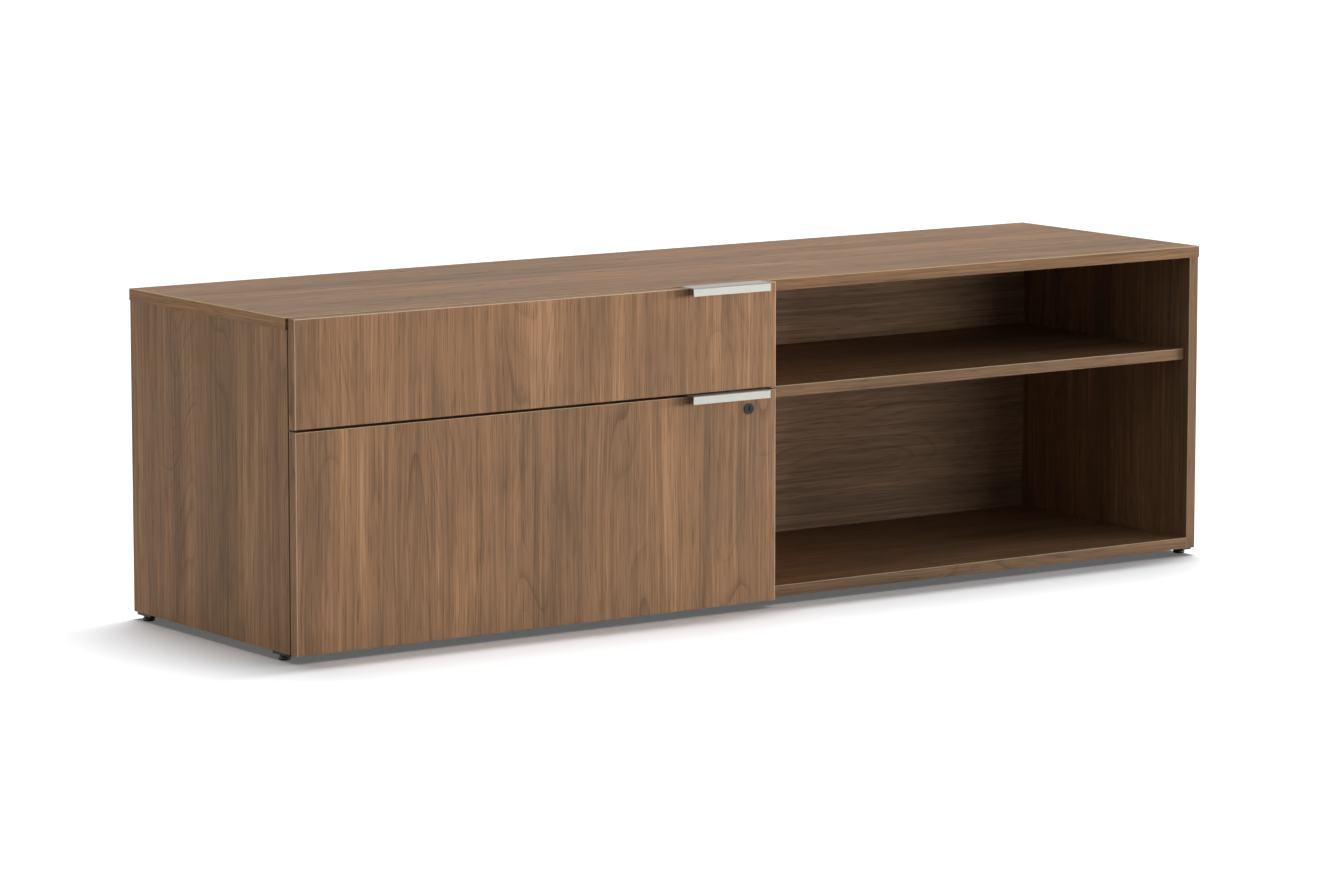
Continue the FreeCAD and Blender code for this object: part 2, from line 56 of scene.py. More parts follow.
log = logging.getLogger("credenza")

Socket = bpy.types.NodeSocket
Signal = Socket | float
Colour = tuple[float, float, float]


class Axis(Enum):
    """An axis of the part's frame, by its place in a vector."""

    X = 0
    Y = 1
    Z = 2

    def others(self) -> list["Axis"]:
        """The two other axes, in order."""
        return [axis for axis in Axis if axis is not self]


def seen(red: float, green: float, blue: float) -> Colour:
    """A colour as it looks on a screen, on the scale of 0 to 255, made linear."""
    levels = [channel / SCREEN_WHITE for channel in (red, green, blue)]
    return tuple(Color(levels).from_srgb_to_scene_linear())


# Shader building

# How strong each finer layer of noise is beside the one before it, and where a new stop of a ramp waits
LAYER_STRENGTH = 0.5
UNPLACED_STOP = 0.5


class Shader:
    """A material whose nodes are added step by step, so that a finish reads as a few short lines."""

    def __init__(self, name: str) -> None:
        """Starts an empty material.

        Args:
            name: The material's name.
        """
        self.material = bpy.data.materials.new(name)
        self.material.use_nodes = True
        self.tree = self.material.node_tree
        self.tree.nodes.clear()
        self.place = self.add("ShaderNodeTexCoord")

    def add(self, kind: str, inputs: dict | None = None, **settings: object) -> bpy.types.Node:
        """Adds a node.

        Args:
            kind: The node's type name.
            inputs: What each socket takes: another node's socket to link, or a value.
            **settings: The node's own properties.

        Returns:
            The new node.
        """
        node = self.tree.nodes.new(kind)
        for key, value in settings.items():
            setattr(node, key, value)
        for key, value in (inputs or {}).items():
            self.feed(node.inputs[key], value)
        return node

    def feed(self, socket: Socket, value: object) -> None:
        """Links a socket to another one, or gives it a value.

        Args:
            socket: The socket to feed.
            value: The other socket, a number, a vector or a colour.
        """
        if isinstance(value, Socket):
            self.tree.links.new(value, socket)
        elif socket.type == "RGBA" and len(value) == 3:
            socket.default_value = (*value, 1.0)
        else:
            socket.default_value = value

    def math(self, operation: str, first: Signal, second: Signal = 0.0, clamp: bool = False) -> Socket:
        """The result of one sum, product or comparison.

        Args:
            operation: The name of the operation.
            first: Its first value.
            second: Its second value.
            clamp: Whether the result is kept from 0 to 1.

        Returns:
            The socket that holds the result.
        """
        inputs = {0: first, 1: second}
        return self.add("ShaderNodeMath", inputs, operation=operation, use_clamp=clamp).outputs[0]

    def times(self, first: Signal, second: Signal) -> Socket:
        """One number times another."""
        return self.math("MULTIPLY", first, second)

    def above(self, signal: Signal, level: float) -> Socket:
        """1 where a number is above a level, and 0 elsewhere."""
        return self.math("GREATER_THAN", signal, level)

    def fold(self, operation: str, *signals: Signal) -> Socket:
        """The result of one operation carried through several numbers in turn."""
        return functools.reduce(lambda first, second: self.math(operation, first, second), signals)

    def weighted(self, *terms: tuple[Signal, float]) -> Socket:
        """The sum of signals, each times its weight.

        Args:
            *terms: Pairs of a signal and its weight.

        Returns:
            The socket that holds the sum.
        """
        total: Signal = 0.0
        for signal, weight in terms:
            node = self.add("ShaderNodeMath", {0: signal, 1: weight, 2: total}, operation="MULTIPLY_ADD")
            total = node.outputs[0]
        return total

    def choose(self, switch: Signal, off: Signal, on: Signal) -> Socket:
        """One number where a switch is 0 and another where it is 1.

        Args:
            switch: The signal that chooses.
            off: The number at 0.
            on: The number at 1.

        Returns:
            The socket that holds the chosen number.
        """
        return self.add("ShaderNodeMix", {0: switch, 2: off, 3: on}).outputs[0]

    def tint(
        self, factor: Signal, off: Signal | Colour, on: Signal | Colour, blend: str = "MIX",
    ) -> Socket:
        """Two colours mixed.

        Args:
            factor: How much of the second colour shows.
            off: The first colour.
            on: The second colour.
            blend: The name of the way they mix.

        Returns:
            The socket that holds the colour.
        """
        inputs = {0: factor, 6: off, 7: on}
        return self.add("ShaderNodeMix", inputs, data_type="RGBA", blend_type=blend).outputs[2]

    def join(self, x: Signal, y: Signal, z: Signal) -> Socket:
        """A vector made of three numbers."""
        return self.add("ShaderNodeCombineXYZ", {0: x, 1: y, 2: z}).outputs[0]

    def split(self, vector: Socket) -> list[Socket]:
        """The three numbers of a vector."""
        return list(self.add("ShaderNodeSeparateXYZ", {0: vector}).outputs)

    def point(self) -> list[Socket]:
        """The place of a point of the piece, axis by axis."""
        return self.split(self.place.outputs["Object"])

    def normal(self) -> list[Socket]:
        """The way that the surface faces there, axis by axis."""
        return self.split(self.place.outputs["Normal"])

    def noise(self, vector: Socket, detail: float) -> Socket:
        """Smooth noise from 0 to 1 whose features are about one unit across.

        Args:
            vector: Where it is read.
            detail: How many finer layers it has.

        Returns:
            The socket that holds the noise.
        """
        inputs = {"Vector": vector, "Scale": 1.0, "Detail": detail, "Roughness": LAYER_STRENGTH}
        return self.add("ShaderNodeTexNoise", inputs).outputs[0]

    def speckle(self, along: float, across: float, grain: Axis, detail: float) -> Socket:
        """Smooth noise on the piece's own coordinates, drawn out along one axis.

        Args:
            along: How many features a metre holds along that axis.
            across: How many features a metre holds along the two others.
            grain: The axis.
            detail: How many finer layers it has.

        Returns:
            The socket that holds the noise.
        """
        scale = tuple(along if axis is grain else across for axis in Axis)
        mapping = self.add("ShaderNodeMapping", {"Vector": self.place.outputs["Object"], "Scale": scale})
        return self.noise(mapping.outputs[0], detail)

    def cloud(self, per_metre: float, detail: float) -> Socket:
        """Smooth noise on the piece's own coordinates, alike along each axis."""
        return self.speckle(per_metre, per_metre, Axis.X, detail)

    def ramp(self, factor: Signal, *stops: tuple[float, Colour | float]) -> Socket:
        """A colour ramp.

        Args:
            factor: Where the ramp is read, from 0 to 1.
            *stops: Pairs of a place and a colour or grey level.

        Returns:
            The socket that holds the colour.
        """
        node = self.add("ShaderNodeValToRGB", {0: factor})
        elements = node.color_ramp.elements
        while len(elements) < len(stops):
            elements.new(UNPLACED_STOP)
        for element, (place, colour) in zip(elements, stops):
            element.position = place
            element.color = (*colour, 1.0) if isinstance(colour, tuple) else (colour, colour, colour, 1.0)
        return node.outputs[0]

    def bump(self, height: Signal, distance: float, strength: float) -> Socket:
        """A surface normal that follows a height from 0 to 1.

        Args:
            height: The height.
            distance: How high 1 stands, in metres.
            strength: How strongly it shows.

        Returns:
            The socket that holds the normal.
        """
        inputs = {"Height": height, "Distance": distance, "Strength": strength}
        return self.add("ShaderNodeBump", inputs).outputs[0]

    def surface(self, inputs: dict[str, object]) -> bpy.types.Material:
        """Ends the material with a principled surface.

        Args:
            inputs: What its sockets take.

        Returns:
            The finished material.
        """
        shader = self.add("ShaderNodeBsdfPrincipled", inputs)
        self.add("ShaderNodeOutputMaterial", {"Surface": shader.outputs[0]})
        return self.material


# Finishes


@dataclass(frozen=True)
class Finish:
    """A finish that a piece can take, and the slot of the record that it belongs to."""

    name: str
    slot: str

    def paint(self, shader: Shader) -> bpy.types.Material:
        """Builds the surface of the finish.

        Args:
            shader: An empty material to build it in.

        Returns:
            The finished material.
        """
        raise NotImplementedError

    def material(self) -> bpy.types.Material:
        """The finish as a material, made once."""
        return bpy.data.materials.get(self.name) or self.paint(Shader(self.name))


@dataclass(frozen=True)
class Streaks:
    """A field of noise drawn out along the grain, and its share in how light the wood is."""

    per_metre_across: float
    per_metre_along: float
    shift: float
    detail: float
    share: float = 0.0


WANDER = Streaks(6.0, 1.6, 0.3, 1.0)
RIPPLE = Streaks(30.0, 5.0, 1.1, 1.0)
RING_FIGURE = Streaks(5.5, 1.1, 2.4, 1.5)
RING_PATCHES = Streaks(9.0, 1.4, 4.2, 1.0)
PORES = Streaks(700.0, 22.0, 9.9, 0.0)
THREADS = Streaks(360.0, 4.5, 8.8, 1.0, 0.26)
TONES = (
    Streaks(9.0, 0.8, 6.0, 2.0, 0.27),
    Streaks(20.0, 6.0, 5.1, 2.0, 0.12),
    Streaks(50.0, 1.2, 7.7, 2.0, 0.17),
    Streaks(150.0, 2.2, 8.2, 2.0, 0.2),
    THREADS,
)

# Stops of the walnut's ramps, and its other colours
WOOD_COLOURS = (
    (0.37, seen(108, 85, 64)),
    (0.46, seen(139, 106, 79)),
    (0.54, seen(159, 120, 88)),
    (0.65, seen(190, 145, 108)),
)
RING_DARKNESS = ((0.0, 0.6), (0.08, 0.0), (0.62, 0.06), (0.86, 0.7), (0.94, 1.0))
RING_SHOWING = ((0.44, 0.1), (0.66, 1.0))
PORE_DARKNESS = ((0.6, 0.0), (0.72, 1.0))
RING_COLOUR = seen(84, 63, 43)
PORE_COLOUR = seen(76, 56, 39)
# Colour of the painted highlight on rounded edges and along edge bands, where they would catch the light
EDGE_HIGHLIGHT_COLOUR = seen(214, 188, 158)

# How far a normal points along an axis: on a side of a board, on the flat of it, on its rounded edge, and on
# any face that doesn't look down
FACING_SIDE = 0.7
FACING_FLAT = 0.99
FACING_EDGE = 0.35
FACING_LEVEL = -0.05

# What the noise adds to a roughness on average
NOISE_ROUGHNESS = 0.1


class GapSide(Enum):
    """The side of a drawer front that faces the gap between the two fronts and takes painted shade, by the
    sign of its normal.
    """

    NONE = 0.0
    ABOVE = 1.0
    BELOW = -1.0


@dataclass(frozen=True)
class SheetPlace:
    """Where a point of a board lies on its sheet of laminate, and whether it is on an edge band."""

    shader: Shader
    across: Socket
    along: Socket
    sheet: Socket
    on_band: Socket

    def field(self, streaks: Streaks, across: Socket | None = None) -> Socket:
        """Reads a field of streaks.

        Args:
            streaks: The field.
            across: Where it is read across the grain, if not at the point itself.

        Returns:
            The socket that holds the noise.
        """
        vector = self.shader.join(
            self.shader.times(self.across if across is None else across, streaks.per_metre_across),
            self.shader.times(self.along, streaks.per_metre_along),
            self.shader.math("ADD", self.sheet, streaks.shift),
        )
        return self.shader.noise(vector, streaks.detail)


@dataclass(frozen=True)
class WalnutLaminate(Finish):
    """Printed walnut laminate, with its grain along one axis of a board and lengthwise bands on its edges."""

    node: str
    grain: Axis
    thickness: Axis
    seed: float
    tone: float = 1.0
    band_tone: float = 1.0
    cast: Colour = (1.0, 1.0, 1.0)
    gap_side: GapSide = GapSide.NONE
    # Painted shade on the face and rounded edge of a front that look into the gap between the fronts
    gap_face_shade: float = 0.5
    gap_edge_shade: float = 0.02
    band_thickness: float = 0.0013
    # Strengths of the painted highlight line along the edges, on a face and on a band's own face
    face_highlight: float = 0.75
    rim_highlight: float = 0.6
    end_sheet: float = 3.7
    side_sheet: float = 5.3
    back_sheet: float = 9.1
    wander_reach: float = 0.03
    ripple_reach: float = 0.005
    rings_per_metre: float = 40.0
    rings_in_figure: float = 38.0
    ring_strength: float = 0.6
    pore_strength: float = 0.34
    # How strongly rounded edges take the painted highlight
    edge_highlight_strength: float = 3.0
    roughness: float = 0.46
    pore_roughness: float = 0.12
    thread_roughness: float = 0.08
    gloss: float = 0.08
    pore_depth: float = 0.00005
    pore_relief: float = 0.5

    def sheet_place(self, shader: Shader) -> SheetPlace:
        """Finds where a point of the board lies on its sheet of laminate.

        Args:
            shader: The material.

        Returns:
            The place, with a number that differs from sheet to sheet.
        """
        point, normal = shader.point(), shader.normal()
        width = next(axis for axis in self.grain.others() if axis is not self.thickness)
        on_end = shader.above(shader.math("ABSOLUTE", normal[self.grain.value]), FACING_SIDE)
        on_side = shader.above(shader.math("ABSOLUTE", normal[width.value]), FACING_SIDE)
        on_back = shader.above(normal[self.thickness.value], FACING_SIDE)
        on_band = shader.math("MAXIMUM", on_end, on_side)
        along = shader.choose(on_end, point[self.grain.value], point[width.value])
        across = shader.choose(on_band, point[width.value], point[self.thickness.value])
        sheet = shader.weighted(
            (on_end, self.end_sheet),
            (on_side, self.side_sheet),
            (on_back, self.back_sheet),
            (1.0, self.seed),
        )
        return SheetPlace(shader, across, along, sheet, on_band)

    def band_highlight_line(self, shader: Shader, on_band: Socket) -> Socket:
        """How strong the painted highlight line is where an edge band meets a face, except along the bottom.

        Args:
            shader: The material.
            on_band: Whether the point is on the band's own face.

        Returns:
            The socket that holds the line's strength.
        """
        low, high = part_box(self.node)
        point = shader.point()

        def line(*axes: Axis) -> Socket:
            """Finds whether the point is as near as a band's thickness to a side of the board.

            Args:
                *axes: The axes that the sides lie along.

            Returns:
                The socket that holds 1 there and 0 elsewhere.
            """
            inward = []
            for axis in axes:
                inward.append(shader.math("SUBTRACT", high[axis.value], point[axis.value]))
                if axis is not Axis.Z:
                    inward.append(shader.math("SUBTRACT", point[axis.value], low[axis.value]))
            return shader.math("LESS_THAN", shader.fold("MINIMUM", *inward), self.band_thickness)

        # Painted highlight lines along the sides of the face and of the band, none along the bottom
        on_face = shader.times(line(*self.thickness.others()), self.face_highlight)
        on_rim = shader.times(line(self.thickness), self.rim_highlight)
        return shader.choose(on_band, on_face, on_rim)

    def painted_edge_highlight(self, shader: Shader) -> Socket:
        """How strongly a rounded edge is painted lighter as a highlight, except where it faces down.

        Args:
            shader: The material.

        Returns:
            The socket that holds how strong the painted highlight is.
        """
        normal = shader.normal()
        flatness = shader.fold("MAXIMUM", *(shader.math("ABSOLUTE", side) for side in normal))
        turned = shader.math("SUBTRACT", 1.0, flatness)
        # Painted highlight: rounded edges are lightened as if they caught the light, except on faces that
        # look down
        highlight = shader.math("MULTIPLY", turned, self.edge_highlight_strength, clamp=True)
        return shader.times(highlight, shader.above(normal[Axis.Z.value], FACING_LEVEL))

    def rings(self, place: SheetPlace, wavy: Socket) -> Socket:
        """Draws the dark late wood of the growth rings, each as strong as chance has it.

        Args:
            place: Where the point lies on its sheet.
            wavy: Its distance across the wavy grain.

        Returns:
            The socket that holds how dark the wood is.
        """
        shader = place.shader
        figure = place.field(RING_FIGURE, wavy)
        count = shader.weighted((figure, self.rings_in_figure), (wavy, self.rings_per_metre))
        late_wood = shader.ramp(shader.math("FRACT", count), *RING_DARKNESS)
        number = {"W": shader.math("FLOOR", count)}
        chance = shader.add("ShaderNodeTexWhiteNoise", number, noise_dimensions="1D").outputs[0]
        showing = shader.ramp(place.field(RING_PATCHES), *RING_SHOWING)
        return shader.times(shader.times(late_wood, chance), showing)

    def lightness(self, shader: Shader, on_band: Socket) -> Socket:
        """How light the board is on its faces and on its bands, with painted shade on the face and rounded
        edge that look into the gap between two fronts.

        Args:
            shader: The material.
            on_band: Whether the point is on an edge band.

        Returns:
            The socket that holds the lightness.
        """
        # Painted shade: the face and rounded edge that look into the gap between the fronts are darkened as
        # if shadowed
        towards_gap = shader.times(shader.normal()[Axis.Z.value], self.gap_side.value)
        on_gap_face = shader.above(towards_gap, FACING_FLAT)
        on_gap_edge = shader.math("SUBTRACT", shader.above(towards_gap, FACING_EDGE), on_gap_face)
        level = shader.choose(on_band, self.tone, self.tone * self.band_tone)
        level = shader.choose(on_gap_face, level, self.gap_face_shade)
        return shader.choose(on_gap_edge, level, self.gap_edge_shade)

    def paint(self, shader: Shader) -> bpy.types.Material:
        """Builds the laminate: wavy growth rings, soft bands of tone, dark streaks and fine pores, with
        painted highlights on its edges and painted shade towards the gap between two fronts.

        Args:
            shader: An empty material to build it in.

        Returns:
            The finished material.
        """
        place = self.sheet_place(shader)
        wander, ripple = place.field(WANDER), place.field(RIPPLE)
        wavy = shader.weighted((place.across, 1.0), (wander, self.wander_reach), (ripple, self.ripple_reach))
        tones = {streaks: place.field(streaks, wavy) for streaks in TONES}
        pore = shader.ramp(place.field(PORES), *PORE_DARKNESS)
        depth = shader.weighted(*((tone, streaks.share) for streaks, tone in tones.items()))
        colour = shader.ramp(depth, *WOOD_COLOURS)
        colour = shader.tint(shader.times(self.rings(place, wavy), self.ring_strength), colour, RING_COLOUR)
        colour = shader.tint(shader.times(pore, self.pore_strength), colour, PORE_COLOUR)
        # Painted highlights: rounded edges and the lines along edge bands are lightened as if they caught the
        # light
        highlight = shader.math("ADD", self.painted_edge_highlight(shader), self.band_highlight_line(shader, place.on_band))
        colour = shader.tint(shader.math("MINIMUM", highlight, 1.0), colour, EDGE_HIGHLIGHT_COLOUR)
        level = self.lightness(shader, place.on_band)
        cast = shader.join(*(shader.times(level, channel) for channel in self.cast))
        return shader.surface({
            "Base Color": shader.tint(1.0, colour, cast, "MULTIPLY"),
            "Roughness": shader.weighted(
                (pore, self.pore_roughness), (tones[THREADS], self.thread_roughness), (1.0, self.roughness),
            ),
            "Specular IOR Level": self.gloss,
            "Normal": shader.bump(shader.math("SUBTRACT", 1.0, pore), self.pore_depth, self.pore_relief),
        })


@dataclass(frozen=True)
class PlainBoard(Finish):
    """Pale board or bare hardwood with a faint straight grain along one axis."""

    grain: Axis = Axis.X
    light: Colour = seen(222, 204, 176)
    dark: Colour = seen(196, 172, 138)
    streaks_along: float = 9.0
    streaks_across: float = 90.0
    fibres_along: float = 30.0
    fibres_across: float = 900.0
    fibre_share: float = 0.3
    roughness: float = 0.4
    fibre_roughness: float = 0.2
    fibre_height: float = 0.00006
    fibre_relief: float = 0.4

    def paint(self, shader: Shader) -> bpy.types.Material:
        """Builds the board from long soft streaks and fine fibres.

        Args:
            shader: An empty material to build it in.

        Returns:
            The finished material.
        """
        streak = shader.speckle(self.streaks_along, self.streaks_across, self.grain, detail=3.0)
        fibre = shader.speckle(self.fibres_along, self.fibres_across, self.grain, detail=1.0)
        tone = shader.weighted((streak, 1 - self.fibre_share), (fibre, self.fibre_share))
        return shader.surface({
            "Base Color": shader.ramp(tone, (0.36, self.dark), (0.6, self.light)),
            "Roughness": shader.weighted((fibre, self.fibre_roughness), (1.0, self.roughness)),
            "Normal": shader.bump(fibre, self.fibre_height, self.fibre_relief),
        })


@dataclass(frozen=True)
class BrightMetal(Finish):
    """Plated or anodised metal with fine rolling or brushing lines along one axis."""

    colour: Colour = seen(205, 207, 208)
    roughness: float = 0.35
    brushed: Axis = Axis.Y
    metallic: float = 1.0
    clouding: float = 0.12
    clouds: float = 45.0
    lines_along: float = 12.0
    lines_across: float = 1600.0
    line_roughness: float = 0.16
    cloud_roughness: float = 0.06
    line_height: float = 0.00001
    line_relief: float = 0.3

    def paint(self, shader: Shader) -> bpy.types.Material:
        """Builds the metal from a slightly clouded colour and faint lines in its gloss.

        Args:
            shader: An empty material to build it in.

        Returns:
            The finished material.
        """
        lines = shader.speckle(self.lines_along, self.lines_across, self.brushed, detail=1.0)
        cloud = shader.cloud(self.clouds, detail=3.0)
        darker = tuple(channel * (1 - self.clouding) for channel in self.colour)
        return shader.surface({
            "Base Color": shader.ramp(cloud, (0.3, darker), (0.7, self.colour)),
            "Metallic": self.metallic,
            "Roughness": shader.weighted(
                (lines, self.line_roughness),
                (cloud, self.cloud_roughness),
                (1.0, self.roughness - NOISE_ROUGHNESS),
            ),
            "Normal": shader.bump(lines, self.line_height, self.line_relief),
        })


@dataclass(frozen=True)
class Moulded(Finish):
    """Moulded plastic, rubber or black plating with a fine even texture."""

    colour: Colour = seen(34, 34, 35)
    roughness: float = 0.5
    texture: float = 0.00004
    gloss: float = 0.5
    clouds: float = 60.0
    grains: float = 1400.0
    grain_roughness: float = 0.2
    grain_relief: float = 0.5
    cloud_gain: float = 1.5
    cloud_lift: float = 0.002

    def paint(self, shader: Shader) -> bpy.types.Material:
        """Builds the surface from a fine grain and a faint difference of tone.

        Args:
            shader: An empty material to build it in.

        Returns:
            The finished material.
        """
        grain = shader.cloud(self.grains, detail=2.0)
        cloud = shader.cloud(self.clouds, detail=2.0)
        lighter = tuple(channel * self.cloud_gain + self.cloud_lift for channel in self.colour)
        return shader.surface({
            "Base Color": shader.ramp(cloud, (0.3, self.colour), (0.75, lighter)),
            "Roughness": shader.weighted(
                (grain, self.grain_roughness),
                (1.0, self.roughness - NOISE_ROUGHNESS),
            ),
            "Specular IOR Level": self.gloss,
            "Normal": shader.bump(grain, self.texture, self.grain_relief),
        })


TONGUE = PlainBoard("hardwood_tongue", "tongue_wood", Axis.Y, seen(214, 188, 146), seen(188, 156, 112))
PULL_METAL = BrightMetal(
    "satin_anodised_pull", "pull_aluminium", seen(145, 145, 138), 0.4, Axis.X, metallic=0.6, clouding=0.04,
)
SLIDE_METAL = BrightMetal("zinc_plated_slide", "slide_steel", seen(196, 199, 203), 0.32, Axis.Y)
CAGE_METAL = BrightMetal("bright_cage", "cage_steel", seen(214, 210, 198), 0.26, Axis.Y)
RAIL_METAL = BrightMetal("plated_folder_rail", "rail_steel", seen(192, 195, 198), 0.34, Axis.X)
CAM_METAL = BrightMetal("stamped_cam", "cam_steel", seen(186, 186, 182), 0.38, Axis.Z)
PIN_METAL = BrightMetal("nickel_pin", "pin_steel", seen(206, 204, 198), 0.22, Axis.X)
INSERT_METAL = BrightMetal("dull_zinc_insert", "insert_zinc", seen(176, 172, 162), 0.5, Axis.Z)
GLIDE_PLASTIC = Moulded("black_glide", "glide_plastic", seen(20, 20, 21), 0.5, gloss=0.25)
BUMPER_RUBBER = Moulded("dark_bumper", "bumper_rubber", seen(48, 48, 50), 0.75, 0.00008)
LOCK_PLATING = Moulded("black_lock_plating", "lock_black", seen(44, 46, 48), 0.5, 0.00001, 0.12)
PLUG_PLATING = Moulded("black_plug_plating", "plug_black", seen(24, 28, 33), 0.5, 0.00001, 0.12)


# Pieces

# From how many sides a bar is shaded as a round one
ROUND_SIDES = 12


def dress(node: str, finish: Finish) -> None:
    """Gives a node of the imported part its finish.

    Args:
        node: The node's name.
        finish: What it is finished in.
    """
    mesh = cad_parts[node].data
    mesh.materials.clear()
    mesh.materials.append(finish.material())
    log.info("%s: %s", node, finish.name)


def add_piece(name: str, shape: bmesh.types.BMesh, finish: Finish, body: str) -> bpy.types.Object:
    """Makes a new piece that moves with a body.

    Args:
        name: The piece's name.
        shape: Its faces, in place; it is freed here.
        finish: What it is finished in.
        body: The body that it rides on.

    Returns:
        The new object.
    """
    bmesh.ops.recalc_face_normals(shape, faces=shape.faces)
    mesh = bpy.data.meshes.new(name)
    shape.to_mesh(mesh)
    shape.free()
    mesh.materials.append(finish.material())
    piece = bpy.data.objects.new(name, mesh)
    bpy.context.scene.collection.objects.link(piece)
    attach(piece, body)
    log.info("%s: %d faces, %s", name, len(mesh.polygons), finish.name)
    return piece


def turned_to(place: Vector, outward: Vector) -> Matrix:
    """The matrix that stands a shape drawn along Z on a place, along a direction."""
    return Matrix.Translation(place) @ outward.to_track_quat("Z", "Y").to_matrix().to_4x4()


def sized_at(place: Vector, width: float, length: float, height: float) -> Matrix:
    """The matrix that gives a cube of 1 m its size and its place."""
    return Matrix.Translation(place) @ Matrix.Diagonal((width, length, height, 1))


def middle_of(node: str) -> Vector:
    """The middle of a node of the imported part."""
    low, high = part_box(node)
    return (low + high) / 2


def even_places(low: float, high: float, count: int) -> list[float]:
    """Places spread evenly over a span, each in the middle of its share."""
    return [low + (high - low) * (index + 0.5) / count for index in range(count)]


def pour(source: bmesh.types.BMesh, target: bmesh.types.BMesh, free: bool = True) -> None:
    """Adds one shape to another.

    Args:
        source: The shape that is added.
        target: The shape that grows.
        free: Whether the source is no longer needed.
    """
    mesh = bpy.data.meshes.new("poured")
    source.to_mesh(mesh)
    target.from_mesh(mesh)
    bpy.data.meshes.remove(mesh)
    if free:
        source.free()


def cut_away(shape: bmesh.types.BMesh, cutter: bmesh.types.BMesh) -> bpy.types.Mesh:
    """A shape less a cutter.

    Args:
        shape: What is cut; it is freed here.
        cutter: What is taken away; it is freed here.

    Returns:
        The mesh that is left.
    """
    blanks = []
    for name, part in (("blank", shape), ("cutter", cutter)):
        mesh = bpy.data.meshes.new(name)
        part.to_mesh(mesh)
        part.free()
        blanks.append(bpy.data.objects.new(name, mesh))
        bpy.context.scene.collection.objects.link(blanks[-1])
    boolean = blanks[0].modifiers.new("cut", "BOOLEAN")
    boolean.operation = "DIFFERENCE"
    boolean.solver = "EXACT"
    boolean.use_self = True
    boolean.object = blanks[1]
    view = bpy.context.evaluated_depsgraph_get()
    result = bpy.data.meshes.new_from_object(blanks[0].evaluated_get(view))
    for blank in blanks:
        bpy.data.meshes.remove(blank.data)
    return result


@dataclass(frozen=True)
class ScrewHead:
    """A round screw head with a cross recess, drawn once and copied to each of its places."""

    radius: float
    height: float
    sunk: float = 0.0002
    rim_share: float = 0.6
    rim_facets: int = 3
    recess_share: float = 0.75
    arm_length_share: float = 0.62
    arm_width_share: float = 0.2
    facets: int = 28

    def mesh(self) -> bpy.types.Mesh:
        """Draws the head standing on the origin along Z.

        Returns:
            The head's mesh.
        """
        tall = self.height + self.sunk
        head = bmesh.new()
        bmesh.ops.create_cone(
            head, cap_ends=True, segments=self.facets, radius1=self.radius, radius2=self.radius,
            depth=tall, matrix=Matrix.Translation((0, 0, tall / 2 - self.sunk)),
        )
        rim = [edge for edge in head.edges if all(vert.co.z > 0 for vert in edge.verts)]
        bmesh.ops.bevel(
            head, geom=rim, offset=self.height * self.rim_share, segments=self.rim_facets, profile=0.5,
            affect="EDGES", material=-1,
        )
        cutter = bmesh.new()
        length, width = 2 * self.radius * self.arm_length_share, 2 * self.radius * self.arm_width_share
        deep = 2 * self.height * self.recess_share
        for across, along in ((length, width), (width, length)):
            bmesh.ops.create_cube(cutter, size=1, matrix=sized_at((0, 0, self.height), across, along, deep))
        return cut_away(head, cutter)


def add_screws(
    name: str, head: ScrewHead, places: Iterable[tuple[Vector, Vector]], finish: Finish, body: str,
) -> None:
    """Makes one piece of several screw heads.

    Args:
        name: The piece's name.
        head: The head that is repeated.
        places: Each head's place and the way it faces.
        finish: What the heads are finished in.
        body: The body that they ride on.
    """
    pattern = head.mesh()
    screws = bmesh.new()
    for place, outward in places:
        screw = bmesh.new()
        screw.from_mesh(pattern)
        bmesh.ops.transform(screw, matrix=turned_to(place, outward), verts=screw.verts)
        pour(screw, screws)
    bpy.data.meshes.remove(pattern)
    add_piece(name, screws, finish, body)


class Side(Enum):
    """The left or right side of the case, by its word in the names of nodes."""

    LEFT = "left"
    RIGHT = "right"


class End(Enum):
    """The front or rear end of the case, by its word in the names of nodes."""

    FRONT = "front"
    REAR = "rear"


class Member(Enum):
    """A rolled member of a ball slide, by its word in the names of nodes."""

    CABINET = "cabinet"
    MIDDLE = "middle"
    DRAWER = "drawer"


